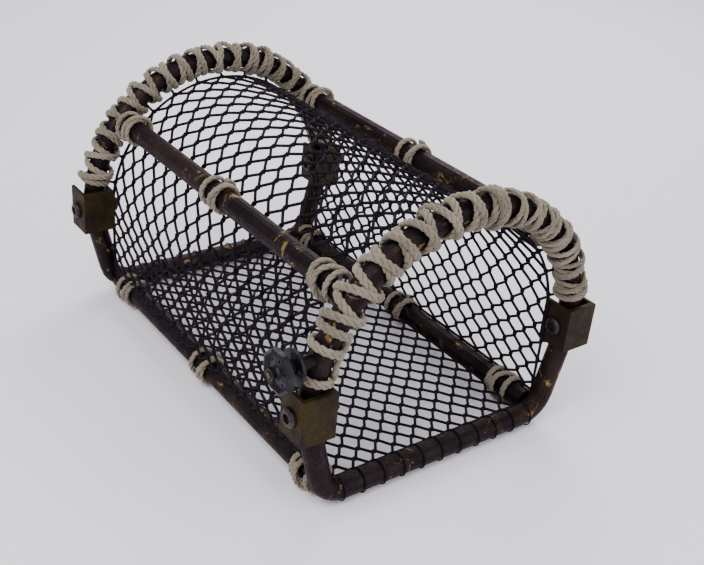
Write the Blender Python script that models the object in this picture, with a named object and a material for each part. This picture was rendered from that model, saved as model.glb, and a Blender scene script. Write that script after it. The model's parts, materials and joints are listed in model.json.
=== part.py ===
"""Folding crab trap: two bent-pipe hoops hinged in four blocks, joined by pipe rails, rope and netting.

Frame: +X from the rear hoop to the front hoop, +Y from the left side to the right side as seen
from in front, +Z up. The origin is on the floor, midway between the hoops.
The upper arches fold towards -X together, and carry the shoulder rails level, as a parallelogram.
"""

import math

import bmesh
import bpy
from mathutils import Matrix, Vector

# Driving dimensions, in metres and radians
PIPE_RADIUS = 0.01345
HALF_LENGTH = 0.270
HALF_WIDTH = 0.190
HINGE_Z = 0.1365
BASE_Z = PIPE_RADIUS
FOLD_ANGLE = math.radians(70)
RELIEF_ANGLE = FOLD_ANGLE + math.radians(6)

BASE_CORNER_Y = 0.163
BEND_RADIUS = 0.034
LEG_TOP_Y = 0.186
RAIL_ANGLE = math.radians(40)

BLOCK_SIZE = Vector((0.042, 0.044, 0.058))
SLOT_HALF_WIDTH = 0.0172
KNUCKLE_RADIUS = 0.0133
KNUCKLE_HALF_WIDTH = 0.0168
SLOT_CLEARANCE = 0.0008
SOCKET_DEPTH = 0.0085
BOLT_RADIUS = 0.006
BOLT_HEAD_RADIUS = 0.0115
BOLT_HEAD_HEIGHT = 0.006
BOLT_TAIL = 0.0120
NUT_RADIUS = 0.0108
NUT_HEIGHT = 0.010
HEX_SOCKET_RADIUS = 0.0062
HEX_SOCKET_DEPTH = 0.0035

GAP = 0.0003
FOLD_CLEARANCE = 0.0008
RELIEF_CLEARANCE = 0.0030
ARCH_ROPE = 0.0090
LASHING_ROPE = 0.0060
LASHING_LENGTH = 0.026
SHOULDER_LASHING_OFFSETS = (0.0140, 0.0140)
LEFT_BOTTOM_LASHING_OFFSETS = (0.0260, 0.0060)
RIGHT_BOTTOM_LASHING_OFFSETS = (0.0060, 0.0260)

NET_RADIUS = 0.167
NET_THICKNESS = 0.0020
NET_HALF_LENGTH = 0.2560
FLOOR_NET_HALF_WIDTH = 0.1285
FLOOR_NET_Z = 0.0165
SIDE_NET_FOOT_Y = 0.1305
NET_BREAKS = (math.radians(0.3), math.radians(21), math.radians(45), math.radians(90))

SPOOL_RISE = 0.062
STUD_RADIUS = 0.0040
STUD_TAIL = 0.0010
BOSS_RADIUS = 0.0080
BOSS_END_Y = -0.2095
SPOOL_REAR_RADIUS = 0.0200
SPOOL_HUB_RADIUS = 0.0085
SPOOL_FRONT_RADIUS = 0.0255
SPOOL_LENGTH = 0.0270
SPOOL_BORE = 0.0044
SPOOL_NUT_HEIGHT = 0.0045
SPOOL_NUT_RADIUS = 0.0075

PIPE_SIDES = 16
ARCH_STEP = math.radians(6)
BEND_STEPS = 6

FRONT, REAR = 1, -1
LEFT, RIGHT = -1, 1
END_NAMES = {FRONT: "front", REAR: "rear"}
SIDE_NAMES = {LEFT: "left", RIGHT: "right"}
X_AXIS, Y_AXIS = Vector((1, 0, 0)), Vector((0, 1, 0))


def clear_scene():
    for old in list(bpy.data.objects):
        bpy.data.objects.remove(old, do_unlink=True)


def make_material(name, color, roughness, metallic):
    material = bpy.data.materials.new(name)
    material.use_nodes = True
    shader = material.node_tree.nodes["Principled BSDF"]
    shader.inputs["Base Color"].default_value = (*color, 1.0)
    shader.inputs["Roughness"].default_value = roughness
    shader.inputs["Metallic"].default_value = metallic
    material.diffuse_color = (*color, 1.0)
    return material


def make_object(name, mesh_data, material, holder=None):
    """An object from a bmesh in world coordinates, held by an empty on its joint's axis if it moves."""
    bmesh.ops.recalc_face_normals(mesh_data, faces=mesh_data.faces)
    mesh = bpy.data.meshes.new(name)
    mesh_data.to_mesh(mesh)
    mesh_data.free()
    mesh.shade_smooth()
    mesh.set_sharp_from_angle(angle=math.radians(35))
    piece = bpy.data.objects.new(name, mesh)
    bpy.context.collection.objects.link(piece)
    if material:
        mesh.materials.append(material)
    if holder:
        piece.parent = holder
        piece.matrix_parent_inverse = Matrix.Translation(-holder.location)
    return piece


def make_holder(name, location):
    holder = bpy.data.objects.new(name, None)
    holder.empty_display_size = 0.02
    holder.location = location
    bpy.context.collection.objects.link(holder)
    return holder


def combine(piece, mesh_data, operation):
    """Cut a shape out of a piece, or join it to the piece, and keep the result as the piece's mesh."""
    tool = make_object(piece.name + "_tool", mesh_data, None)
    modifier = piece.modifiers.new("Boolean", "BOOLEAN")
    modifier.operation = operation
    modifier.solver = "EXACT"
    modifier.object = tool
    evaluated = piece.evaluated_get(bpy.context.evaluated_depsgraph_get())
    result = bpy.data.meshes.new_from_object(evaluated)
    result.name = piece.name
    piece.modifiers.clear()
    piece.data = result
    bpy.data.objects.remove(tool, do_unlink=True)


def bridge_rings(mesh_data, rings, closed):
    """Side faces between neighbouring rings of vertices, with flat ends unless the rings close up."""
    count = len(rings[0])
    pairs = list(zip(rings, rings[1:]))
    if closed:
        pairs.append((rings[-1], rings[0]))
    for lower, upper in pairs:
        for i in range(count):
            j = (i + 1) % count
            mesh_data.faces.new((lower[i], lower[j], upper[j], upper[i]))
    if not closed:
        mesh_data.faces.new(rings[0])
        mesh_data.faces.new(reversed(rings[-1]))
    return mesh_data


def turned(profile, start, axis, sides=PIPE_SIDES, closed=False, phase=0.0):
    """A solid turned about a line. profile holds (distance along the axis, radius) pairs."""
    mesh_data = bmesh.new()
    turn = axis.to_track_quat("Z", "Y")
    rings = []
    for distance, radius in profile:
        angles = [phase + 2 * math.pi * i / sides for i in range(sides)]
        points = [Vector((radius * math.cos(a), radius * math.sin(a), distance)) for a in angles]
        rings.append([mesh_data.verts.new(start + turn @ point) for point in points])
    return bridge_rings(mesh_data, rings, closed)


def ring_profile(length, outer, inner):
    return [(0, inner), (0, outer), (length, outer), (length, inner)]


def hoop_sweep(path, x, radius, bore=None):
    """A round bar, or a sleeve with a bore, along (y, z) points in the plane of a hoop."""
    mesh_data = bmesh.new()
    shells = []
    for shell_radius in [radius] if bore is None else [radius, bore]:
        rings = []
        for i, point in enumerate(path):
            before, after = path[max(i - 1, 0)], path[min(i + 1, len(path) - 1)]
            along = (after - before).normalized()
            normal = Vector((0, -along.y, along.x))
            centre = Vector((x, point.x, point.y))
            ring = []
            for k in range(PIPE_SIDES):
                a = 2 * math.pi * k / PIPE_SIDES
                offset = X_AXIS * math.cos(a) + normal * math.sin(a)
                ring.append(mesh_data.verts.new(centre + offset * shell_radius))
            rings.append(ring)
        shells.append(rings)
    if bore is None:
        return bridge_rings(mesh_data, shells[0], closed=False)
    outer, inner = shells
    lengthwise = zip(*(outer + inner[::-1]))
    return bridge_rings(mesh_data, [list(line) for line in lengthwise], closed=True)


def hex_nut(height, corner_radius, thread_radius, start, axis):
    bore = (thread_radius + GAP) / math.cos(math.pi / 6)
    return turned(ring_profile(height, corner_radius, bore), start, axis, sides=6, closed=True)


def box(low, high):
    mesh_data = bmesh.new()
    low, high = Vector(low), Vector(high)
    place = Matrix.Translation((low + high) / 2) @ Matrix.Diagonal((*(high - low), 1))
    bmesh.ops.create_cube(mesh_data, size=1, matrix=place)
    return mesh_data


def sheet(line, thickness, half_length):
    """A thin closed sheet: an open (y, z) line given a thickness, and drawn out along X."""
    mesh_data = bmesh.new()
    outer, inner = [], []
    for i, point in enumerate(line):
        along = (line[min(i + 1, len(line) - 1)] - line[max(i - 1, 0)]).normalized()
        inward = Vector((-along.y, along.x)) * thickness
        outer.append(point)
        inner.append(point + inward)
    outline = outer + inner[::-1]
    rings = []
    for x in (-half_length, half_length):
        rings.append([mesh_data.verts.new((x, p.x, p.y)) for p in outline])
    return bridge_rings(mesh_data, rings, closed=False)


def arch_point(angle, radius=HALF_WIDTH):
    """(y, z) on the arch, measured from the left hinge over the top."""
    return Vector((-radius * math.cos(angle), HINGE_Z + radius * math.sin(angle)))


def arch_path(first, last, radius=HALF_WIDTH):
    steps = round((last - first) / ARCH_STEP)
    return [arch_point(first + (last - first) * i / steps, radius) for i in range(steps + 1)]


def fillet(before, corner, after, radius, steps):
    """Points of the round bend that replaces a corner between two straight runs."""
    one, two = (before - corner).normalized(), (after - corner).normalized()
    half = one.angle(two) / 2
    centre = corner + (one + two).normalized() * (radius / math.sin(half))
    start = corner + one * (radius / math.tan(half)) - centre
    end = corner + two * (radius / math.tan(half)) - centre
    sweep = start.angle_signed(end)
    turns = [Matrix.Rotation(-sweep * i / steps, 2) for i in range(steps + 1)]
    return [centre + turn @ start for turn in turns]


def leg_end(side):
    """Top end of a base leg, inside its hinge block, in (y, z)."""
    entry = Vector((side * LEG_TOP_Y, HINGE_Z - BLOCK_SIZE.z / 2))
    corner = Vector((side * BASE_CORNER_Y, BASE_Z))
    return entry + (entry - corner).normalized() * SOCKET_DEPTH


def base_hoop_path():
    left, right = (Vector((side * BASE_CORNER_Y, BASE_Z)) for side in (LEFT, RIGHT))
    middle = (left + right) / 2
    left_bend = fillet(leg_end(LEFT), left, middle, BEND_RADIUS, BEND_STEPS)
    right_bend = fillet(middle, right, leg_end(RIGHT), BEND_RADIUS, BEND_STEPS)
    return [leg_end(LEFT), *left_bend, *right_bend, leg_end(RIGHT)]


def bottom_rail_centre(side):
    """(y, z) where a bottom rail meets the middle of the hoop's bend."""
    path = base_hoop_path()
    middle = path[1 + BEND_STEPS // 2]
    return Vector((side * abs(middle.x), middle.y))


def shoulder_rail_centre(side):
    point = arch_point(RAIL_ANGLE)
    return Vector((side * abs(point.x), point.y))


def build_base_hoops(material):
    for end, name in END_NAMES.items():
        make_object(f"base_hoop_{name}", hoop_sweep(base_hoop_path(), end * HALF_LENGTH, PIPE_RADIUS), material)


def build_hinge_block(end, side, material):
    """A block with a slot for the arch, open at the top and to the rear, and a socket for the leg."""
    hinge = Vector((end * HALF_LENGTH, side * HALF_WIDTH, HINGE_Z))
    name = f"hinge_block_{END_NAMES[end]}_{SIDE_NAMES[side]}"
    block = make_object(name, box(hinge - BLOCK_SIZE / 2, hinge + BLOCK_SIZE / 2), material)
    slot_reach = KNUCKLE_RADIUS + SLOT_CLEARANCE
    slot_low = hinge + Vector((-BLOCK_SIZE.x, -SLOT_HALF_WIDTH, -slot_reach))
    slot_high = hinge + Vector((slot_reach, SLOT_HALF_WIDTH, BLOCK_SIZE.z))
    combine(block, box(slot_low, slot_high), "DIFFERENCE")
    top = leg_end(side)
    corner = Vector((side * BASE_CORNER_Y, BASE_Z))
    along = (top - corner).normalized()
    tip = top + along * GAP
    socket_start = Vector((hinge.x, tip.x, tip.y))
    socket_axis = Vector((0, -along.x, -along.y))
    socket_radius = (PIPE_RADIUS + GAP) / math.cos(math.pi / PIPE_SIDES)
    combine(block, turned([(0, socket_radius), (BLOCK_SIZE.z, socket_radius)], socket_start, socket_axis), "DIFFERENCE")
    bore = BOLT_RADIUS + GAP
    bore_start = hinge - Y_AXIS * BLOCK_SIZE.y
    combine(block, turned([(0, bore), (2 * BLOCK_SIZE.y, bore)], bore_start, Y_AXIS), "DIFFERENCE")


def build_hinge_bolt(end, side, bolt_material, nut_material):
    """A shouldered bolt across the block, head to the left, with a hexagon nut on the right."""
    hinge = Vector((end * HALF_LENGTH, side * HALF_WIDTH, HINGE_Z))
    tag = f"{END_NAMES[end]}_{SIDE_NAMES[side]}"
    under_head = BLOCK_SIZE.y / 2 + GAP
    start = hinge - Y_AXIS * (under_head + BOLT_HEAD_HEIGHT)
    tail = BOLT_HEAD_HEIGHT + 2 * under_head + BOLT_TAIL
    profile = [
        (0, BOLT_HEAD_RADIUS * 0.78),
        (BOLT_HEAD_HEIGHT * 0.45, BOLT_HEAD_RADIUS),
        (BOLT_HEAD_HEIGHT, BOLT_HEAD_RADIUS),
        (BOLT_HEAD_HEIGHT, BOLT_RADIUS),
        (tail, BOLT_RADIUS),
    ]
    bolt = make_object(f"hinge_bolt_{tag}", turned(profile, start, Y_AXIS, sides=12), bolt_material)
    socket = turned(
        [(-HEX_SOCKET_DEPTH, HEX_SOCKET_RADIUS), (HEX_SOCKET_DEPTH, HEX_SOCKET_RADIUS)], start, Y_AXIS, sides=6
    )
    combine(bolt, socket, "DIFFERENCE")
    nut_start = hinge + Y_AXIS * under_head
    nut = hex_nut(NUT_HEIGHT, NUT_RADIUS, BOLT_RADIUS, nut_start, Y_AXIS)
    make_object(f"hinge_nut_{tag}", nut, nut_material)


def build_arch(end, material, holder):
    """A half-round pipe with a cross-bored knuckle at each end. The front one carries a stud."""
    x = end * HALF_LENGTH
    name = f"arch_{END_NAMES[end]}"
    arch = make_object(name, hoop_sweep(arch_path(0, math.pi), x, PIPE_RADIUS), material, holder)
    for side in (LEFT, RIGHT):
        hinge = Vector((x, side * HALF_WIDTH, HINGE_Z))
        width = 2 * KNUCKLE_HALF_WIDTH
        start = hinge - Y_AXIS * KNUCKLE_HALF_WIDTH
        half_step = math.pi / PIPE_SIDES
        knuckle = turned([(0, KNUCKLE_RADIUS), (width, KNUCKLE_RADIUS)], start, Y_AXIS, phase=half_step)
        combine(arch, knuckle, "UNION")
        bore = BOLT_RADIUS + GAP
        bore_start = hinge - Y_AXIS * width
        combine(arch, turned([(0, bore), (2 * width, bore)], bore_start, Y_AXIS, sides=12), "DIFFERENCE")
    if end == FRONT:
        root_y = arch_point(math.asin(SPOOL_RISE / HALF_WIDTH)).x
        stud_end = BOSS_END_Y - SPOOL_LENGTH - SPOOL_NUT_HEIGHT - STUD_TAIL
        profile = [
            (0, BOSS_RADIUS),
            (root_y - BOSS_END_Y, BOSS_RADIUS),
            (root_y - BOSS_END_Y, STUD_RADIUS),
            (root_y - stud_end, STUD_RADIUS),
        ]
        start = Vector((x, root_y, HINGE_Z + SPOOL_RISE))
        combine(arch, turned(profile, start, -Y_AXIS, sides=12), "UNION")
    return arch


def build_arch_rope(end, material, holder):
    """Rope bound round the arch, as sleeves that leave the places where the shoulder rails butt."""
    spans = {"left": (18, 23.4), "top": (60, 120), "right": (156.6, 162)}
    bore = (PIPE_RADIUS + GAP) / math.cos(math.pi / PIPE_SIDES)
    for part, (first, last) in spans.items():
        path = arch_path(math.radians(first), math.radians(last))
        sleeve = hoop_sweep(path, end * HALF_LENGTH, PIPE_RADIUS + ARCH_ROPE, bore)
        piece = make_object(f"arch_rope_{END_NAMES[end]}_{part}", sleeve, material, holder)
        if end == FRONT and part == "left":
            start = Vector((end * HALF_LENGTH, arch_point(RAIL_ANGLE).x - 0.030, HINGE_Z + SPOOL_RISE))
            hole = BOSS_RADIUS + 2 * GAP
            combine(piece, turned([(0, hole), (0.08, hole)], start, -Y_AXIS, sides=12), "DIFFERENCE")


def build_bottom_rail(side, material):
    centre = bottom_rail_centre(side)
    reach = HALF_LENGTH - PIPE_RADIUS - GAP
    start = Vector((-reach, centre.x, centre.y))
    profile = [(0, PIPE_RADIUS), (2 * reach, PIPE_RADIUS)]
    make_object(f"bottom_rail_{SIDE_NAMES[side]}", turned(profile, start, X_AXIS), material)


def relief_cutter(end, side):
    """The half-space that an arch sweeps beside the end of a shoulder rail as the trap folds."""
    centre = shoulder_rail_centre(side)
    pivot = Vector((end * HALF_LENGTH, centre.x, centre.y))
    tangent = Vector((0, -side * math.sin(RAIL_ANGLE), math.cos(RAIL_ANGLE)))
    folded = Matrix.Rotation(-RELIEF_ANGLE, 3, "Y") @ tangent
    towards_rail = -end * (X_AXIS - folded * X_AXIS.dot(folded)).normalized()
    face = pivot + towards_rail * (PIPE_RADIUS + RELIEF_CLEARANCE)
    size = 0.2
    block = bmesh.new()
    turn = towards_rail.to_track_quat("Z", "Y").to_matrix().to_4x4()
    place = Matrix.Translation(face - towards_rail * size / 2) @ turn
    bmesh.ops.create_cube(block, size=size, matrix=place)
    return block


def build_shoulder_rail(side, material, holder):
    """A straight pipe between the arches, its ends relieved so that the arches can lean past them."""
    centre = shoulder_rail_centre(side)
    reach = HALF_LENGTH - PIPE_RADIUS - FOLD_CLEARANCE
    start = Vector((-reach, centre.x, centre.y))
    profile = [(0, PIPE_RADIUS), (2 * reach, PIPE_RADIUS)]
    rail = make_object(f"shoulder_rail_{SIDE_NAMES[side]}", turned(profile, start, X_AXIS), material, holder)
    for end in (REAR, FRONT):
        combine(rail, relief_cutter(end, side), "DIFFERENCE")


def build_lashings(material, holder):
    """Three rope lashings round each rail: one at each end and one in the middle."""
    bore = (PIPE_RADIUS + GAP) / math.cos(math.pi / PIPE_SIDES)
    outer = PIPE_RADIUS + LASHING_ROPE
    ring = ring_profile(LASHING_LENGTH, outer, bore)
    for side, side_name in SIDE_NAMES.items():
        bottom_offsets = LEFT_BOTTOM_LASHING_OFFSETS if side == LEFT else RIGHT_BOTTOM_LASHING_OFFSETS
        rails = {
            "shoulder": (shoulder_rail_centre(side), SHOULDER_LASHING_OFFSETS, holder),
            "bottom": (bottom_rail_centre(side), bottom_offsets, None),
        }
        for rail_name, (centre, (rear_offset, front_offset), rail_holder) in rails.items():
            end_x = HALF_LENGTH - PIPE_RADIUS
            places = {
                "rear": rear_offset - end_x,
                "middle": -LASHING_LENGTH / 2,
                "front": end_x - front_offset - LASHING_LENGTH,
            }
            for place, x in places.items():
                start = Vector((x, centre.x, centre.y))
                band = turned(ring, start, X_AXIS, closed=True)
                make_object(f"lashing_{rail_name}_{side_name}_{place}", band, material, rail_holder)


def mirrored(line):
    """The same line on the other side, run backwards so that its thickness still points inwards."""
    return [Vector((-point.x, point.y)) for point in reversed(line)]


def build_nets(material, holders):
    """The net in its panels: a floor, a low wall and two courses on each side, and a roof."""
    floor = [Vector((-FLOOR_NET_HALF_WIDTH, FLOOR_NET_Z)), Vector((FLOOR_NET_HALF_WIDTH, FLOOR_NET_Z))]
    make_object("net_floor", sheet(floor, NET_THICKNESS, NET_HALF_LENGTH), material)
    foot = Vector((-SIDE_NET_FOOT_Y, FLOOR_NET_Z))
    head = Vector((-NET_RADIUS, HINGE_Z - GAP))
    low_wall = [head, foot]
    courses = [("net_wall_low", low_wall, None)]
    names = ("net_wall_middle", "net_wall_high")
    for name, first, last, holder in zip(names, NET_BREAKS, NET_BREAKS[1:], holders):
        margin = GAP / NET_RADIUS
        line = arch_path(first + margin, last - margin, NET_RADIUS)
        courses.append((name, line[::-1], holder))
    for name, line, holder in courses:
        left = sheet(line, NET_THICKNESS, NET_HALF_LENGTH)
        right = sheet(mirrored(line), NET_THICKNESS, NET_HALF_LENGTH)
        make_object(f"{name}_left", left, material, holder)
        make_object(f"{name}_right", right, material, holder)
    roof = arch_path(NET_BREAKS[2], math.pi - NET_BREAKS[2], NET_RADIUS)
    make_object("net_roof", sheet(roof[::-1], NET_THICKNESS, NET_HALF_LENGTH), material, holders[2])


def build_spool(material, nut_material, holder, arch_holder):
    """The haul-line spool: an open rear flange, a hub and an eight-sided dished front flange."""
    axis = -Y_AXIS
    start = Vector((HALF_LENGTH, BOSS_END_Y - GAP, HINGE_Z + SPOOL_RISE))
    hub_end = 0.020
    rear = [
        (0, SPOOL_REAR_RADIUS - 0.001),
        (0.0015, SPOOL_REAR_RADIUS),
        (0.0045, SPOOL_REAR_RADIUS),
        (0.0050, SPOOL_HUB_RADIUS),
        (hub_end, SPOOL_HUB_RADIUS),
    ]
    spool = make_object("haul_spool", turned(rear, start, axis, sides=20), material, holder)
    front = [
        (0.0150, SPOOL_FRONT_RADIUS * 0.72),
        (0.0175, SPOOL_FRONT_RADIUS),
        (0.0235, SPOOL_FRONT_RADIUS),
        (0.0250, SPOOL_FRONT_RADIUS * 0.86),
        (0.0215, SPOOL_FRONT_RADIUS * 0.74),
        (0.0235, SPOOL_HUB_RADIUS),
        (SPOOL_LENGTH - 0.0005, SPOOL_HUB_RADIUS * 0.8),
    ]
    combine(spool, turned(front, start, axis, sides=8, phase=math.pi / 8), "UNION")
    combine(spool, turned([(-0.01, SPOOL_BORE), (0.05, SPOOL_BORE)], start, axis, sides=12), "DIFFERENCE")
    windows = [(4, 0.0130, 0.0040, -0.010, 0.010, 0.0), (6, 0.0140, 0.0016, 0.010, 0.040, 0.3)]
    for count, ring_radius, hole_radius, first, last, phase in windows:
        for i in range(count):
            a = phase + 2 * math.pi * i / count
            centre = start + Vector((ring_radius * math.cos(a), 0, ring_radius * math.sin(a)))
            hole = turned([(first, hole_radius), (last, hole_radius)], centre, axis, sides=10)
            combine(spool, hole, "DIFFERENCE")
    nut_start = start + axis * (SPOOL_LENGTH + GAP)
    nut = hex_nut(SPOOL_NUT_HEIGHT, SPOOL_NUT_RADIUS, STUD_RADIUS, nut_start, axis)
    make_object("spool_nut", nut, nut_material, arch_holder)


def main():
    clear_scene()
    pipe = make_material("rusty_pipe", (0.075, 0.045, 0.026), 0.48, 0.75)
    forged = make_material("olive_block", (0.105, 0.078, 0.040), 0.58, 0.45)
    bolt = make_material("dark_bolt", (0.050, 0.052, 0.062), 0.42, 0.85)
    rope = make_material("sisal_rope", (0.420, 0.350, 0.250), 0.90, 0.0)
    net = make_material("tarred_twine", (0.020, 0.014, 0.012), 0.80, 0.0)

    crown = shoulder_rail_centre(LEFT).y
    rear_fold = make_holder("axis_fold_rear", (-HALF_LENGTH, 0, HINGE_Z))
    front_fold = make_holder("axis_fold_front", (HALF_LENGTH, 0, HINGE_Z))
    rail_fold = make_holder("axis_rail_level", (-HALF_LENGTH, 0, crown))
    spool_axis = make_holder("axis_spool", (HALF_LENGTH, BOSS_END_Y, HINGE_Z + SPOOL_RISE))
    net_holders = [make_holder(f"slide_net_{name}", (0, 0, HINGE_Z)) for name in ("middle", "high", "roof")]
    arch_holders = {FRONT: front_fold, REAR: rear_fold}

    build_base_hoops(pipe)
    for end in END_NAMES:
        for side in SIDE_NAMES:
            build_hinge_block(end, side, forged)
            build_hinge_bolt(end, side, bolt, bolt)
        build_arch(end, pipe, arch_holders[end])
        build_arch_rope(end, rope, arch_holders[end])
    for side in SIDE_NAMES:
        build_bottom_rail(side, pipe)
        build_shoulder_rail(side, pipe, rail_fold)
    build_lashings(rope, rail_fold)
    build_nets(net, net_holders)
    build_spool(bolt, bolt, spool_axis, front_fold)


main()
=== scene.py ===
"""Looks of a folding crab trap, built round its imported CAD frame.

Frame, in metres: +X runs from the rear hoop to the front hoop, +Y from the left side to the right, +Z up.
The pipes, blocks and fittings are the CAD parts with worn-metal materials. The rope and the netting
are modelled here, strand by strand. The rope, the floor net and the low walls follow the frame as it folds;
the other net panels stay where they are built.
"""

import json
import math
import random

import bpy
import numpy as np
from mathutils import Matrix, Vector


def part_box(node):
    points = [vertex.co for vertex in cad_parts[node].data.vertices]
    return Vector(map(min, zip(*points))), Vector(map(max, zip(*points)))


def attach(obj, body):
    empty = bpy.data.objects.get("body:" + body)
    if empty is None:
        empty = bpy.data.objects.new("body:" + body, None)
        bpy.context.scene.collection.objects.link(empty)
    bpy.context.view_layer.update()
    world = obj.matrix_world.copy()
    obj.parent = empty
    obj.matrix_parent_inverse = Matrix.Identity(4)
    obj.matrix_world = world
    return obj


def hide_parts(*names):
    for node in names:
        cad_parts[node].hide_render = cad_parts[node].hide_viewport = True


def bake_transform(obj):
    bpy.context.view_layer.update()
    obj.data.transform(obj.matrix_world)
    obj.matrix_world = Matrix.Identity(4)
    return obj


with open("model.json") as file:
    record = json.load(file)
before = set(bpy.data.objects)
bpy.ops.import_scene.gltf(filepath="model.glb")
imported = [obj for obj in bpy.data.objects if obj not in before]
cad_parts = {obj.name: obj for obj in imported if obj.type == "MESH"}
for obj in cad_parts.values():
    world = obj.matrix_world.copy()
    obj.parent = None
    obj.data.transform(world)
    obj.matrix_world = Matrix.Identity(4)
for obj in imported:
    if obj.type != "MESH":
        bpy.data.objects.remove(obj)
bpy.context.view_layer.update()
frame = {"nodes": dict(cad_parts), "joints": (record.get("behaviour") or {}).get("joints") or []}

# Places read from the frame
JOINTS = {joint["name"]: joint for joint in frame["joints"]}
HALF_LENGTH = -JOINTS["fold"]["pos_m"][0]
HINGE_Z = JOINTS["fold"]["pos_m"][2]
SPOOL_RISE = JOINTS["spool_turn"]["pos_m"][2] - HINGE_Z


def node_centre(node):
    low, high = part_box(node)
    return (low + high) / 2


def node_size(node):
    low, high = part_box(node)
    return high - low


PIPE_RADIUS = node_size("bottom_rail_left").z / 2
ARCH_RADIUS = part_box("arch_rear")[1].z - HINGE_Z - PIPE_RADIUS
NET_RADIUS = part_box("net_roof")[1].z - HINGE_Z
NET_HALF_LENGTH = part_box("net_roof")[1].x
FLOOR_NET_Z = node_centre("net_floor").z
BOTTOM_RAIL = node_centre("bottom_rail_right")
BLOCK_BOTTOM_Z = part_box("hinge_block_front_left")[0].z

# Camera, as the reference view has it
CAMERA_PLACE = Vector((0.9924, -0.7173, 0.7914))
CAMERA_AZIMUTH = 51.83
CAMERA_ELEVATION = 29.16
CAMERA_ROLL = 5.4
CAMERA_LENS = 54.4

# Rope, in metres. It lies flattened on the pipe.
ARCH_ROPE = 0.0096
THIN_ROPE = 0.0062
REAR_ROPE = 0.0086
LASHING_ROPE = 0.0074
ROPE_FLATNESS = (0.56, 1.22)
YARN_SHARE = 0.262
YARN_SIDES = 6
ROPE_STEP = 0.0030
ROPE_LAY = 0.026
ROPE_CLEARANCE = 0.0003
ROPE_PRESS = 0.7
TURN_STEPS = 12
LINK_TURN = 0.5
WINDING_FRONT = 20
WINDING_SWAY = 0.8
WINDING_SWAY_LENGTH = 0.019
BOSS_CLEARANCE = 0.0128
LADDER_SPACING = (0.022, 0.025)
LADDER_SEAM = -50
LADDER_SLANT = 0.12
LADDER_RUN_STEPS = 6

# Where a lashing is after each number of turns, in metres from its middle
LASHING_KEYS = [
    (0, -0.0160), (1.05, -0.0145), (1.5, 0.0115), (2.55, 0.0145), (3.05, -0.0070), (3.5, 0.0060),
]
LASHING_KEY_STEPS = 8

# Net twine
TWINE_RADIUS = 0.0019
KNOT_RADIUS = 0.0019
KNOT_SWELL = 0.0017
KNOT_STEPS = 5
KNOT_TWIST = 2.4
KNOT_TAPER = 1.1
KNOT_REACH = 1.15
TWINE_SIDES = 5
EDGE_SIDES = 6
HITCH_STEPS = 20
HITCH_RADIUS = 0.0009

# Net lattice: half a mesh along the trap, and half a mesh round it
SHELL_COLUMNS = 34
FLOOR_COLUMNS = 36
FLOOR_ROWS = 20
WALL_ROWS = 7
ARCH_ROWS = 28
MIDDLE_ROW = 3
HIGH_ROW = 7
SHELL_KNOT = 0.0056
FLOOR_KNOT = 0.0040
JITTER_ALONG, JITTER_ROUND = 0.06, 0.05
RAIL_TWINE = PIPE_RADIUS + TWINE_RADIUS
FLOOR_NET_HALF_WIDTH = BOTTOM_RAIL.y - RAIL_TWINE
WALL_FOOT_LEAN = math.radians(55)
WALL_FOOT_Y = BOTTOM_RAIL.y + RAIL_TWINE * math.cos(WALL_FOOT_LEAN)
WALL_FOOT_Z = BOTTOM_RAIL.z + RAIL_TWINE * math.sin(WALL_FOOT_LEAN)

# The floor under the trap, and the finish of the metal parts' edges
FLOOR_DROP = 0.0024
FLOOR_REACH = 15.0
WELD_DISTANCE = 0.00002
BEVEL_ANGLE = math.radians(40)
SPLIT_ANGLE = math.radians(38)

LEFT, RIGHT = -1, 1
SIDE_NAMES = {LEFT: "left", RIGHT: "right"}
X_AXIS, Y_AXIS, Z_AXIS = Vector((1, 0, 0)), Vector((0, 1, 0)), Vector((0, 0, 1))


# ---------------------------------------------------------------- materials

def new_material(name, roughness, metallic):
    material = bpy.data.materials.new(name)
    material.use_nodes = True
    shader = material.node_tree.nodes["Principled BSDF"]
    shader.inputs["Roughness"].default_value = roughness
    shader.inputs["Metallic"].default_value = metallic
    return material, material.node_tree, shader


def object_coordinates(tree, stretch=(1, 1, 1)):
    source = tree.nodes.new("ShaderNodeTexCoord")
    mapping = tree.nodes.new("ShaderNodeMapping")
    mapping.inputs["Scale"].default_value = stretch
    tree.links.new(source.outputs["Object"], mapping.inputs["Vector"])
    return mapping.outputs["Vector"]


def noise(tree, vector, scale, detail=4.0, roughness=0.6, distortion=0.0):
    node = tree.nodes.new("ShaderNodeTexNoise")
    node.inputs["Scale"].default_value = scale
    node.inputs["Detail"].default_value = detail
    node.inputs["Roughness"].default_value = roughness
    node.inputs["Distortion"].default_value = distortion
    tree.links.new(vector, node.inputs["Vector"])
    return node.outputs["Fac"]


def ramp(tree, factor, stops):
    """Colours or greys along a factor. stops holds (position, value) pairs."""
    node = tree.nodes.new("ShaderNodeValToRGB")
    elements = node.color_ramp.elements
    while len(elements) < len(stops):
        elements.new(0.5)
    for element, (position, value) in zip(elements, stops):
        element.position = position
        element.color = (*value, 1.0) if isinstance(value, tuple) else (value, value, value, 1.0)
    tree.links.new(factor, node.inputs["Fac"])
    return node.outputs["Color"]


def mix(tree, factor, first, second):
    node = tree.nodes.new("ShaderNodeMix")
    node.data_type = "RGBA"
    tree.links.new(factor, node.inputs["Factor"])
    tree.links.new(first, node.inputs["A"])
    tree.links.new(second, node.inputs["B"])
    return node.outputs["Result"]


def multiplied(tree, factor, first, second):
    """The first colour darkened by the second, by a fixed factor."""
    node = tree.nodes.new("ShaderNodeMix")
    node.data_type = "RGBA"
    node.blend_type = "MULTIPLY"
    node.inputs["Factor"].default_value = factor
    tree.links.new(first, node.inputs["A"])
    tree.links.new(second, node.inputs["B"])
    return node.outputs["Result"]


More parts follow.
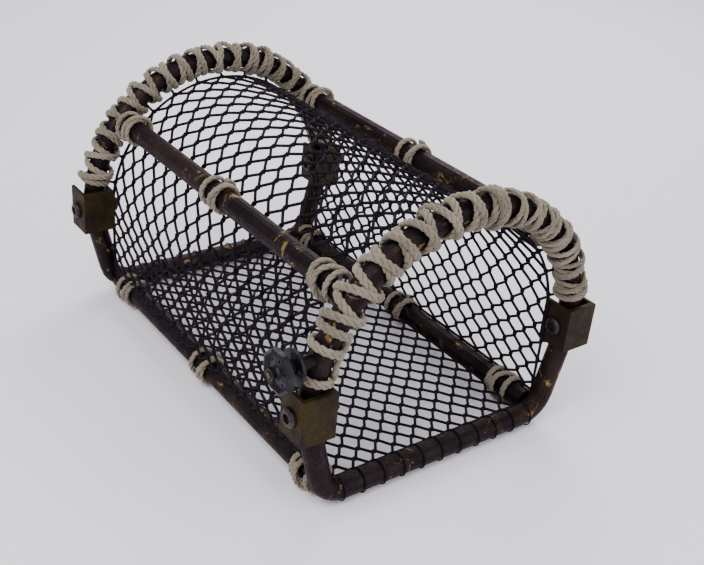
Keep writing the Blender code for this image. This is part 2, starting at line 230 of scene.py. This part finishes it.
def add_bump(tree, shader, height, strength, distance):
    node = tree.nodes.new("ShaderNodeBump")
    node.inputs["Strength"].default_value = strength
    node.inputs["Distance"].default_value = distance
    tree.links.new(height, node.inputs["Height"])
    tree.links.new(node.outputs["Normal"], shader.inputs["Normal"])


def blotches(tree, place, stops, *pattern):
    """Colours or greys spread in patches. pattern holds noise's scale and the values after it."""
    return ramp(tree, noise(tree, place, *pattern), stops)


def pipe_material():
    """Old brown steel pipe: dull sheen, rust bloom, dark speckle, and bright brassy patches painted into the
    colour as glints (painted highlights).
    """
    material, tree, shader = new_material("rusty_pipe", 0.45, 0.8)
    shader.inputs["Specular IOR Level"].default_value = 0.2
    shader.inputs["Specular Tint"].default_value = (0.70, 0.64, 0.67, 1.0)
    place = object_coordinates(tree)
    browns = [(0.30, (0.008, 0.006, 0.008)), (0.52, (0.017, 0.012, 0.013)), (0.72, (0.032, 0.023, 0.015))]
    base = blotches(tree, place, browns, 14, 5, 0.6, 0.4)
    rusts = [(0.35, (0.016, 0.010, 0.008)), (0.7, (0.040, 0.024, 0.012))]
    rust = blotches(tree, place, rusts, 55, 6, 0.7)
    rust_mask = blotches(tree, place, [(0.52, 0.0), (0.66, 0.8)], 22, 6, 0.65, 0.8)
    coloured = mix(tree, rust_mask, base, rust)
    # Bright brassy patches painted into the base colour to stand for glints: painted highlights, not wear
    painted_glint_colours = [(0.3, (0.20, 0.125, 0.045)), (0.7, (0.46, 0.31, 0.12))]
    painted_glint = blotches(tree, place, painted_glint_colours, 160, 3)
    painted_glint_mask = blotches(tree, place, [(0.585, 0.0), (0.665, 0.9)], 34, 7, 0.75, 1.2)
    with_painted_glints = mix(tree, painted_glint_mask, coloured, painted_glint)
    specks = [(0.34, (0.012, 0.009, 0.008)), (0.44, (1.0, 1.0, 1.0))]
    speckle = blotches(tree, place, specks, 420, 3, 0.7)
    tree.links.new(multiplied(tree, 0.75, with_painted_glints, speckle), shader.inputs["Base Color"])
    tree.links.new(blotches(tree, place, [(0.3, 0.26), (0.7, 0.60)], 70, 5, 0.7), shader.inputs["Roughness"])
    add_bump(tree, shader, noise(tree, place, 260, 6, 0.75), 0.45, 0.0009)
    return material


def block_material():
    """Cast block under old olive-brown paint, matte and mottled, with broad ochre patches."""
    material, tree, shader = new_material("olive_block", 0.62, 0.2)
    shader.inputs["Specular IOR Level"].default_value = 0.12
    place = object_coordinates(tree)
    browns = [(0.3, (0.009, 0.006, 0.003)), (0.5, (0.015, 0.010, 0.006)), (0.72, (0.022, 0.014, 0.011))]
    base = blotches(tree, place, browns, 24, 6, 0.65, 0.5)
    ochres = [(0.3, (0.022, 0.014, 0.003)), (0.7, (0.040, 0.026, 0.005))]
    ochre = blotches(tree, place, ochres, 190, 4)
    mask = blotches(tree, place, [(0.44, 0.0), (0.58, 0.85)], 26, 5, 0.55, 0.3)
    tree.links.new(mix(tree, mask, base, ochre), shader.inputs["Base Color"])
    tree.links.new(blotches(tree, place, [(0.3, 0.5), (0.7, 0.78)], 120, 5), shader.inputs["Roughness"])
    add_bump(tree, shader, noise(tree, place, 330, 6, 0.7), 0.5, 0.0008)
    return material


def bolt_material(name, dark, middle, bright):
    """Oil-darkened steel, mottled, with brown stains."""
    material, tree, shader = new_material(name, 0.38, 0.85)
    shader.inputs["Specular IOR Level"].default_value = 0.25
    place = object_coordinates(tree)
    base = blotches(tree, place, [(0.3, dark), (0.6, middle), (0.8, bright)], 90, 5, 0.6)
    stains = [(0.3, (0.016, 0.011, 0.008)), (0.7, (0.045, 0.030, 0.020))]
    stain = blotches(tree, place, stains, 240, 4)
    mask = blotches(tree, place, [(0.56, 0.0), (0.68, 0.7)], 120, 6, 0.7)
    tree.links.new(mix(tree, mask, base, stain), shader.inputs["Base Color"])
    tree.links.new(blotches(tree, place, [(0.3, 0.30), (0.7, 0.58)], 300, 4), shader.inputs["Roughness"])
    add_bump(tree, shader, noise(tree, place, 700, 4, 0.6), 0.3, 0.0003)
    return material


def rope_material():
    """Weathered sisal: khaki, greyer in patches, with a fibrous surface."""
    material, tree, shader = new_material("sisal_rope", 0.9, 0.0)
    shader.inputs["Sheen Weight"].default_value = 0.25
    place = object_coordinates(tree)
    khakis = [(0.28, (0.150, 0.120, 0.078)), (0.5, (0.235, 0.195, 0.138)), (0.75, (0.330, 0.280, 0.215))]
    base = blotches(tree, place, khakis, 26, 4, 0.6)
    fibres = [(0.32, (0.42, 0.40, 0.36)), (0.62, (1.0, 1.0, 1.0))]
    fibre = blotches(tree, place, fibres, 620, 5, 0.7, 0.8)
    tree.links.new(multiplied(tree, 0.8, base, fibre), shader.inputs["Base Color"])
    add_bump(tree, shader, noise(tree, place, 900, 5, 0.7, 0.6), 0.7, 0.0006)
    return material


def twine_material():
    """Tarred net twine, nearly black with a purple cast, and a rough, fibrous surface."""
    material, tree, shader = new_material("tarred_twine", 0.75, 0.0)
    shader.inputs["Specular IOR Level"].default_value = 0.12
    place = object_coordinates(tree)
    blacks = [(0.3, (0.003, 0.002, 0.004)), (0.6, (0.007, 0.004, 0.008)), (0.8, (0.015, 0.009, 0.012))]
    tree.links.new(blotches(tree, place, blacks, 120, 4), shader.inputs["Base Color"])
    tree.links.new(blotches(tree, place, [(0.3, 0.65), (0.7, 0.85)], 400, 3), shader.inputs["Roughness"])
    add_bump(tree, shader, noise(tree, place, 1100, 3, 0.6), 0.6, 0.0004)
    return material


# ---------------------------------------------------------------- strands

class Strands:
    """Closed tubes collected into one mesh."""

    def __init__(self):
        self.points = []
        self.faces = []

    def tube(self, line, radius, sides, normals=None, closed=False):
        """A round tube along a line of points. radius is one value, or one for each point."""
        line = np.asarray(line, float)
        count = len(line)
        if closed:
            along = np.roll(line, -1, 0) - np.roll(line, 1, 0)
        else:
            along = np.gradient(line, axis=0)
        along /= np.linalg.norm(along, axis=1)[:, None]
        if normals is None:
            normals = transported(along)
        across = np.cross(along, normals)
        across /= np.linalg.norm(across, axis=1)[:, None]
        normals = np.cross(across, along)
        turns = np.arange(sides) * 2 * math.pi / sides
        radii = np.broadcast_to(radius, count)[:, None, None]
        ring = normals[:, None] * np.cos(turns)[:, None] + across[:, None] * np.sin(turns)[:, None]
        start = len(self.points)
        self.points.extend((line[:, None] + ring * radii).reshape(-1, 3).tolist())
        for i in range(count if closed else count - 1):
            low, high = start + i * sides, start + (i + 1) % count * sides
            for k in range(sides):
                m = (k + 1) % sides
                self.faces.append((low + k, low + m, high + m, high + k))
        if not closed:
            last = start + (count - 1) * sides
            self.faces.append(tuple(range(start + sides - 1, start - 1, -1)))
            self.faces.append(tuple(range(last, last + sides)))

    def piece(self, name, material, slot):
        mesh = bpy.data.meshes.new(name)
        mesh.from_pydata(self.points, [], self.faces)
        mesh.shade_smooth()
        mesh.materials.append(material)
        piece = bpy.data.objects.new(name, mesh)
        bpy.context.scene.collection.objects.link(piece)
        return piece


def transported(along):
    """A normal at each point of a line, carried along it without twisting."""
    start = np.array((0.0, 0.0, 1.0)) if abs(along[0][2]) < 0.8 else np.array((1.0, 0.0, 0.0))
    normals = [start]
    for direction in along:
        normal = normals[-1] - direction * (normals[-1] @ direction)
        normals.append(normal / np.linalg.norm(normal))
    return np.array(normals[1:])


def smoothed(values, width):
    """A running mean over an odd number of neighbours, with the ends kept."""
    values = np.asarray(values, float)
    half = width // 2
    padded = np.concatenate([np.repeat(values[:1], half, 0), values, np.repeat(values[-1:], half, 0)])
    kernel = np.ones(width) / width
    if values.ndim == 1:
        return np.convolve(padded, kernel, "valid")
    return np.stack([np.convolve(padded[:, k], kernel, "valid") for k in range(values.shape[1])], 1)


# ---------------------------------------------------------------- rope wound on a pipe

def arch_guide(x):
    """Pipe axis, outward direction and side direction at a distance along an arch from its left hinge."""
    def guide(distance):
        angle = distance / ARCH_RADIUS
        outward = Vector((0, -math.cos(angle), math.sin(angle)))
        return Vector((x, 0, HINGE_Z)) + outward * ARCH_RADIUS, outward, X_AXIS
    return guide


def rail_guide(node):
    """The same for a straight rail, measured along X."""
    centre = node_centre(node)

    def guide(distance):
        return Vector((distance, centre.y, centre.z)), Z_AXIS, Y_AXIS
    return guide


def rope_height(diameter):
    """How far a flattened rope stands off the pipe."""
    yarn = YARN_SHARE * diameter
    return 2 * ((diameter / 2 - yarn) * ROPE_FLATNESS[0] + yarn)


def wound(route, guide, diameter):
    """Centre line of a rope wound on a pipe, and its normals.

    route holds (turn angle, distance along the pipe) pairs. The rope is laid at an even step, its
    corners are rounded, and it climbs over its own earlier turns where it crosses them.
    """
    level = PIPE_RADIUS + ROPE_CLEARANCE + rope_height(diameter) / 2
    flat = np.array([(angle * level, distance) for angle, distance in route])
    lengths = np.concatenate([[0], np.cumsum(np.linalg.norm(np.diff(flat, axis=0), axis=1))])
    even = np.arange(0, lengths[-1], ROPE_STEP)
    flat = np.stack([np.interp(even, lengths, flat[:, k]) for k in range(2)], 1)
    flat = smoothed(smoothed(flat, 5), 3)
    skip = int(1.8 * diameter / ROPE_STEP) + 1
    lift = np.zeros(len(flat))
    girth = 2 * math.pi * level
    climb = rope_height(diameter) * ROPE_PRESS
    for i in range(skip, len(flat)):
        gap = flat[: i - skip + 1] - flat[i]
        round_gap = (gap[:, 0] + girth / 2) % girth - girth / 2
        near = diameter ** 2 - round_gap ** 2 - gap[:, 1] ** 2
        lift[i] = math.sqrt(max(0.0, near.max())) / diameter * climb
    lift = smoothed(lift, 7)
    line, normals = [], []
    for (round_it, distance), rise in zip(flat, lift):
        centre, outward, sideways = guide(distance)
        turn = round_it / level
        radial = sideways * math.cos(turn) + outward * math.sin(turn)
        line.append(centre + radial * (level + rise))
        normals.append(radial)
    return np.array(line), np.array(normals)


def lay_rope(strands, line, normals, diameter):
    """Three yarns twisted along a centre line."""
    along = np.gradient(line, axis=0)
    along /= np.linalg.norm(along, axis=1)[:, None]
    across = np.cross(along, normals)
    across /= np.linalg.norm(across, axis=1)[:, None]
    normals = np.cross(across, along)
    lengths = np.concatenate([[0], np.cumsum(np.linalg.norm(np.diff(line, axis=0), axis=1))])
    yarn_radius = diameter * YARN_SHARE
    for yarn in range(3):
        twist = lengths * 2 * math.pi / ROPE_LAY + yarn * 2 * math.pi / 3
        high = np.cos(twist)[:, None] * ROPE_FLATNESS[0]
        wide = np.sin(twist)[:, None] * ROPE_FLATNESS[1]
        offset = normals * high + across * wide
        facing = normals * np.cos(twist)[:, None] + across * np.sin(twist)[:, None]
        strands.tube(line + offset * (diameter / 2 - yarn_radius), yarn_radius, YARN_SIDES, normals=facing)


def ladder(first, last, source, gap):
    """Marline hitching: a full turn at each station, then a run along the pipe at the seam to the next.

    No station falls in the gap, where the spool's boss stands in the way.
    """
    route = []
    turn, here = math.radians(LADDER_SEAM), first
    while here < last:
        beyond = here + source.uniform(*LADDER_SPACING)
        if gap[0] < beyond < gap[1]:
            beyond = gap[1]
        slant = LADDER_SLANT * (beyond - here)
        for k in range(TURN_STEPS + 1):
            route.append((turn + 2 * math.pi * k / TURN_STEPS, here + slant * k / TURN_STEPS))
        turn += 2 * math.pi
        for k in range(1, LADDER_RUN_STEPS):
            route.append((turn, here + slant + (beyond - here - slant) * k / LADDER_RUN_STEPS))
        here = beyond
    return route


def add_pass(route, first, last, phase, pitch, source):
    """A slanting pass along the pipe, after a turn on the spot that brings the rope to the pass's phase.

    phase is the turn angle, in degrees, at which the pass would cross the hinge line.
    """
    slope = math.copysign(2 * math.pi / pitch, last - first)
    start = math.radians(phase) + slope * first
    if route:
        turn, here = route[-1]
        start += 2 * math.pi * math.ceil((turn + 0.5 * math.pi - start) / (2 * math.pi))
        steps = int((start - turn) / LINK_TURN)
        for k in range(1, steps):
            route.append((turn + (start - turn) * k / steps, here + (first - here) * k / steps))
    else:
        route += [(start + 2 * math.pi * (k / TURN_STEPS - 1), first) for k in range(TURN_STEPS)]
    steps = int(abs(last - first) / (pitch / TURN_STEPS))
    wander = source.uniform(0, 2 * math.pi)
    for k in range(steps + 1):
        here = first + (last - first) * k / steps
        sway = WINDING_SWAY * math.sin(wander + here / WINDING_SWAY_LENGTH)
        route.append((start + abs(slope) * abs(here - first) + sway, here))


def criss_cross(route, first, last, phases, pitch, source):
    """Slanting passes there and back. The two passes of a phase cross on the pipe's front face."""
    for phase in phases:
        add_pass(route, first, last, phase, pitch, source)
        add_pass(route, last, first, 2 * WINDING_FRONT - phase, pitch, source)


def build_arch_ropes(material):
    # Each rope: where it starts, ends its hitched turns and stops, in degrees round the arch from the left
    # hinge, then its winding phases, its pitch and its diameter
    ropes = {
        "front": (HALF_LENGTH, [
            (12.3, 25, 100, (0,), 0.029, ARCH_ROPE),
            (98, 98, 166, (0, 75), 0.030, THIN_ROPE),
        ]),
        "rear": (-HALF_LENGTH, [(12.6, 12.6, 167, (0,), 0.0265, REAR_ROPE)]),
    }
    spool = math.asin(SPOOL_RISE / ARCH_RADIUS) * ARCH_RADIUS
    gap = (spool - BOSS_CLEARANCE, spool + BOSS_CLEARANCE)
    for end, (x, spans) in ropes.items():
        strands = Strands()
        source = random.Random(f"{end} rope")
        for *angles, phases, pitch, diameter in spans:
            start, crossing, stop = (math.radians(angle) * ARCH_RADIUS for angle in angles)
            route = ladder(start, crossing, source, gap)
            criss_cross(route, route[-1][1] if route else start, stop, phases, pitch, source)
            line, normals = wound(route, arch_guide(x), diameter)
            lay_rope(strands, line, normals, diameter)
        piece = strands.piece(f"arch_rope_{end}", material, "rope")
        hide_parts(*(f"arch_rope_{end}_{part}" for part in ("left", "top", "right")))
        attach(piece, f"arch_{end}")


def lashing_route(centre, seed):
    """A turn at each end of the lashing, and slanting half turns that cross between them."""
    source = random.Random(seed)
    start = source.uniform(0, 2 * math.pi)
    route = []
    for (turn, here), (next_turn, beyond) in zip(LASHING_KEYS, LASHING_KEYS[1:]):
        for k in range(LASHING_KEY_STEPS):
            share = k / LASHING_KEY_STEPS
            angle = start + 2 * math.pi * (turn + (next_turn - turn) * share)
            route.append((angle, centre + here + (beyond - here) * share))
    return route


def build_lashings(material):
    bodies = {"shoulder": "shoulder_rails", "bottom": "base"}
    for rail, body in bodies.items():
        for side in SIDE_NAMES.values():
            for seed, place in enumerate(("rear", "middle", "front")):
                node = f"lashing_{rail}_{side}_{place}"
                strands = Strands()
                route = lashing_route(node_centre(node).x, 5 + seed)
                line, normals = wound(route, rail_guide(f"{rail}_rail_{side}"), LASHING_ROPE)
                lay_rope(strands, line, normals, LASHING_ROPE)
                piece = strands.piece(f"rope_{node}", material, "rope")
                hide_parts(node)
                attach(piece, body)


# ---------------------------------------------------------------- netting

def shell_place(row):
    """(y, z) of the net round the trap. Row 0 is at the left hinges, with the left low wall's rows below 0."""
    if row < 0 or row > ARCH_ROWS:
        side = LEFT if row < 0 else RIGHT
        share = (-row if row < 0 else row - ARCH_ROWS) / WALL_ROWS
        return (
            side * (NET_RADIUS + (WALL_FOOT_Y - NET_RADIUS) * share),
            HINGE_Z + (WALL_FOOT_Z - HINGE_Z) * share,
        )
    angle = math.pi * row / ARCH_ROWS
    return -NET_RADIUS * math.cos(angle), HINGE_Z + NET_RADIUS * math.sin(angle)


def shell_point(column, row):
    x = -NET_HALF_LENGTH + 2 * NET_HALF_LENGTH * column / SHELL_COLUMNS
    y, z = shell_place(row)
    return Vector((x, y, z))


def floor_point(column, row):
    x = -NET_HALF_LENGTH + 2 * NET_HALF_LENGTH * column / FLOOR_COLUMNS
    return Vector((x, FLOOR_NET_HALF_WIDTH * (2 * row / FLOOR_ROWS - 1), FLOOR_NET_Z))


def knot_jitter(column, row, inside):
    """A small shift of a knot, in lattice steps, so that the meshes aren't all alike."""
    source = random.Random(column * 1009 + row * 31)
    shift = source.uniform(-JITTER_ALONG, JITTER_ALONG), source.uniform(-JITTER_ROUND, JITTER_ROUND)
    return shift if inside else (0.0, 0.0)


def net_panel(strands, place, columns, first_row, last_row, knot_length, row_length):
    """Knots and bars of a diamond net. Each knot is a short doubled stretch lying round the trap."""
    half_knot = knot_length / 2 / row_length

    def knot(column, row):
        inside = 0 < column < columns
        shift_x, shift_row = knot_jitter(column, row, inside)
        return column + shift_x, row + shift_row

    for row in range(first_row, last_row + 1):
        for column in range(columns + 1):
            if (column + row) % 2:
                continue
            at, height = knot(column, row)
            if row < last_row:
                for beyond in (column - 1, column + 1):
                    if 0 <= beyond <= columns:
                        far, top = knot(beyond, row + 1)
                        add_bar(strands, place, (at, height + half_knot), (far, top - half_knot))
            add_knot(strands, place, at, height, half_knot)
    for column in (0, columns):
        add_edge(strands, place, (column, first_row), (column, last_row))


def add_edge(strands, place, start, end):
    """A twine along an edge of the net, through its edge knots."""
    steps = 2 * int(abs(end[0] - start[0]) + abs(end[1] - start[1]))
    shares = [k / steps for k in range(steps + 1)]
    line = [place(start[0] + (end[0] - start[0]) * t, start[1] + (end[1] - start[1]) * t) for t in shares]
    strands.tube(line, TWINE_RADIUS, EDGE_SIDES)


def add_bar(strands, place, start, end):
    shares = (0.0, 0.33, 0.67, 1.0)
    line = [place(start[0] + (end[0] - start[0]) * t, start[1] + (end[1] - start[1]) * t) for t in shares]
    strands.tube(line, TWINE_RADIUS, TWINE_SIDES)


def add_knot(strands, place, column, row, half_knot):
    """Two plies twisted round each other."""
    middle = place(column, row)
    along = (place(column, row + half_knot) - place(column, row - half_knot)) / 2
    across = X_AXIS
    out = along.cross(across).normalized()
    for ply in (0, math.pi):
        line = []
        for k in range(KNOT_STEPS):
            share = 2 * k / (KNOT_STEPS - 1) - 1
            turn = ply + share * KNOT_TWIST
            swell = KNOT_SWELL * math.cos(share * KNOT_TAPER)
            sideways = across * math.cos(turn) + out * math.sin(turn)
            line.append(middle + along * share * KNOT_REACH + sideways * swell)
        strands.tube(line, KNOT_RADIUS, TWINE_SIDES)


def add_lead(strands, knot, centre):
    """A short twine from an edge knot to the skin of a pipe whose axis passes through centre."""
    reach = centre - knot
    end = centre - reach.normalized() * PIPE_RADIUS
    strands.tube([knot, (knot + end) / 2, end], TWINE_RADIUS, TWINE_SIDES)


def arch_centre(end, angle):
    outward = Vector((0, -math.cos(angle), math.sin(angle)))
    return Vector((end * HALF_LENGTH, 0, HINGE_Z)) + outward * ARCH_RADIUS


def leg_axis(end, side):
    """A point on the axis of a hoop's leg, and the axis, both from the ring of points at the leg's top."""
    hoop = frame["nodes"]["base_hoop_front" if end > 0 else "base_hoop_rear"]
    ring = np.array([v.co for v in hoop.data.vertices if v.co.z > BLOCK_BOTTOM_Z and v.co.y * side > 0])
    middle = (ring.min(0) + ring.max(0)) / 2
    axis = np.linalg.svd(ring - middle)[2][-1]
    return Vector(middle), Vector(axis * np.sign(axis[2]))


def leg_centre(end, side, z):
    point, axis = leg_axis(end, side)
    return point + axis * ((z - point.z) / axis.z)


def panel_leads(strands, first_row, last_row):
    """Leads from a shell panel's edge knots to the arches or legs, and to the shoulder rails."""
    for column, end in ((0, -1), (SHELL_COLUMNS, 1)):
        for row in range(first_row, last_row + 1):
            if row % 2 or row in (0, ARCH_ROWS):
                continue
            knot = shell_point(column, row)
            if 0 < row < ARCH_ROWS:
                add_lead(strands, knot, arch_centre(end, math.pi * row / ARCH_ROWS))
            else:
                add_lead(strands, knot, leg_centre(end, LEFT if row < 0 else RIGHT, knot.z))


def add_hitch(strands, centre, axis):
    """A twine loop round a pipe."""
    first = axis.orthogonal().normalized()
    second = axis.cross(first).normalized()
    radius = PIPE_RADIUS + ROPE_CLEARANCE + HITCH_RADIUS
    turns = [2 * math.pi * k / HITCH_STEPS for k in range(HITCH_STEPS)]
    line = [centre + (first * math.cos(turn) + second * math.sin(turn)) * radius for turn in turns]
    strands.tube(line, HITCH_RADIUS, TWINE_SIDES, closed=True)


def build_hitches(material):
    """Twine loops that tie the floor net's ends to the cross bars."""
    strands = Strands()
    for end in (-1, 1):
        for row in range(0, FLOOR_ROWS + 1, 2):
            add_hitch(strands, Vector((end * HALF_LENGTH, floor_point(0, row).y, PIPE_RADIUS)), Y_AXIS)
    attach(strands.piece("twine_hitches", material, "net"), "base")


def shell_panels():
    """Each panel round the trap: its first and last row, then the bodies at its lower and upper edges."""
    return {
        "net_wall_low_left": (-WALL_ROWS, 0, None, None),
        "net_wall_middle_left": (0, MIDDLE_ROW, "base", "net_middle"),
        "net_wall_high_left": (MIDDLE_ROW, HIGH_ROW, "net_middle", "net_high"),
        "net_roof": (HIGH_ROW, ARCH_ROWS - HIGH_ROW, "net_high", "net_roof"),
        "net_wall_high_right": (ARCH_ROWS - HIGH_ROW, ARCH_ROWS - MIDDLE_ROW, "net_middle", "net_high"),
        "net_wall_middle_right": (ARCH_ROWS - MIDDLE_ROW, ARCH_ROWS, "base", "net_middle"),
        "net_wall_low_right": (ARCH_ROWS, ARCH_ROWS + WALL_ROWS, None, None),
    }


def build_shell_net(material, node, first, last, lower, upper):
    """A panel round the trap. A low wall rides on the base; the others stay where they are built."""
    row_length = math.pi * NET_RADIUS / ARCH_ROWS
    if lower is None:
        row_length = (Vector(shell_place(0)) - Vector(shell_place(-WALL_ROWS))).length / WALL_ROWS
    strands = Strands()
    net_panel(strands, shell_point, SHELL_COLUMNS, first, last, SHELL_KNOT, row_length)
    panel_leads(strands, first, last)
    if lower is None:
        foot = first if first < 0 else last
        add_edge(strands, shell_point, (0, foot), (SHELL_COLUMNS, foot))
    piece = strands.piece(node.replace("net_", "netting_"), material, "net")
    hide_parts(node)
    if lower is None:
        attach(piece, "base")
        return
    levels = sorted(shell_place(row)[1] for row in (first, last))
    if node == "net_roof":
        levels[1] = HINGE_Z + NET_RADIUS
    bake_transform(piece)


def build_floor_net(material):
    strands = Strands()
    width = 2 * FLOOR_NET_HALF_WIDTH
    net_panel(strands, floor_point, FLOOR_COLUMNS, 0, FLOOR_ROWS, FLOOR_KNOT, width / FLOOR_ROWS)
    for row in (0, FLOOR_ROWS):
        add_edge(strands, floor_point, (0, row), (FLOOR_COLUMNS, row))
    piece = strands.piece("netting_floor", material, "net")
    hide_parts("net_floor")
    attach(piece, "base")


def build_netting(material):
    for node, panel in shell_panels().items():
        build_shell_net(material, node, *panel)
    build_floor_net(material)


# ---------------------------------------------------------------- metal parts

def dress_cad_nodes(materials):
    """Smooth shading and a finished material for every CAD part that stays, and a small worn bevel on the
    blocks, bolts, nuts and spool.
    """
    looks = {
        "hinge_block": ("block", 0.0012),
        "hinge_bolt": ("bolt", 0.0005),
        "hinge_nut": ("bolt", 0.0006),
        "haul_spool": ("spool", 0.0004),
        "spool_nut": ("spool", 0.0005),
    }
    for name, node in frame["nodes"].items():
        if name.startswith(("net_", "arch_rope", "lashing")):
            continue
        look, bevel = next((looks[key] for key in looks if name.startswith(key)), ("pipe", 0.0))
        node.data.materials.clear()
        node.data.materials.append(materials[look])
        for polygon in node.data.polygons:
            polygon.material_index = 0
        weld = node.modifiers.new("Weld", "WELD")
        weld.merge_threshold = WELD_DISTANCE
        if bevel:
            edges = node.modifiers.new("Bevel", "BEVEL")
            edges.width = bevel
            edges.segments = 2
            edges.limit_method = "ANGLE"
            edges.angle_limit = BEVEL_ANGLE
        split = node.modifiers.new("Edge Split", "EDGE_SPLIT")
        split.split_angle = SPLIT_ANGLE


# ---------------------------------------------------------------- stage

def build_camera():
    data = bpy.data.cameras.new("camera")
    data.lens = CAMERA_LENS
    data.sensor_width = 36.0
    data.clip_start, data.clip_end = 0.05, 30
    camera = bpy.data.objects.new("camera", data)
    bpy.context.scene.collection.objects.link(camera)
    azimuth, elevation = math.radians(CAMERA_AZIMUTH), math.radians(CAMERA_ELEVATION)
    level = math.cos(elevation)
    back = Vector((math.sin(azimuth) * level, -math.cos(azimuth) * level, math.sin(elevation)))
    turn = back.to_track_quat("Z", "Y").to_matrix() @ Matrix.Rotation(math.radians(CAMERA_ROLL), 3, "Z")
    camera.matrix_world = Matrix.Translation(CAMERA_PLACE) @ turn.to_4x4()
    bpy.context.scene.camera = camera


def build_stage():
    """A wide pale floor just under the trap's lowest rope and twine."""
    mesh = bpy.data.meshes.new("floor")
    signs = [(-1, -1), (1, -1), (1, 1), (-1, 1)]
    corners = [(x * FLOOR_REACH, y * FLOOR_REACH, -FLOOR_DROP) for x, y in signs]
    mesh.from_pydata(corners, [], [(0, 1, 2, 3)])
    material, _, shader = new_material("pale_floor", 0.9, 0.0)
    shader.inputs["Base Color"].default_value = (0.88, 0.85, 0.92, 1.0)
    mesh.materials.append(material)
    floor = bpy.data.objects.new("floor", mesh)
    bpy.context.scene.collection.objects.link(floor)


def add_light(name, place, size, power, colour):
    data = bpy.data.lights.new(name, "AREA")
    data.size = size
    data.energy = power
    data.color = colour
    light = bpy.data.objects.new(name, data)
    light.location = place
    target = Vector((0, 0, HINGE_Z))
    light.rotation_euler = (target - Vector(place)).to_track_quat("-Z", "Y").to_euler()
    bpy.context.scene.collection.objects.link(light)


def build_lights():
    add_light("key", (0.6, -1.6, 2.2), 1.6, 60, (1.0, 0.98, 0.95))
    add_light("fill", (2.2, 0.9, 1.4), 2.0, 28, (0.95, 0.96, 1.0))
    add_light("rim", (-1.4, 1.6, 1.9), 1.5, 45, (1.0, 0.98, 0.96))
    world = bpy.data.worlds.new("studio")
    world.use_nodes = True
    background = world.node_tree.nodes["Background"]
    background.inputs["Color"].default_value = (0.87, 0.85, 0.91, 1.0)
    background.inputs["Strength"].default_value = 0.95
    bpy.context.scene.world = world


def main():
    build_camera()
    build_stage()
    build_lights()
    browns = (0.020, 0.015, 0.015), (0.045, 0.034, 0.034), (0.080, 0.062, 0.058)
    greys = (0.010, 0.010, 0.012), (0.024, 0.023, 0.027), (0.060, 0.057, 0.062)
    materials = {
        "pipe": pipe_material(),
        "block": block_material(),
        "bolt": bolt_material("brown_bolt", *browns),
        "spool": bolt_material("gunmetal", *greys),
    }
    rope, twine = rope_material(), twine_material()
    dress_cad_nodes(materials)
    build_arch_ropes(rope)
    build_lashings(rope)
    build_netting(twine)
    build_hitches(twine)


main()
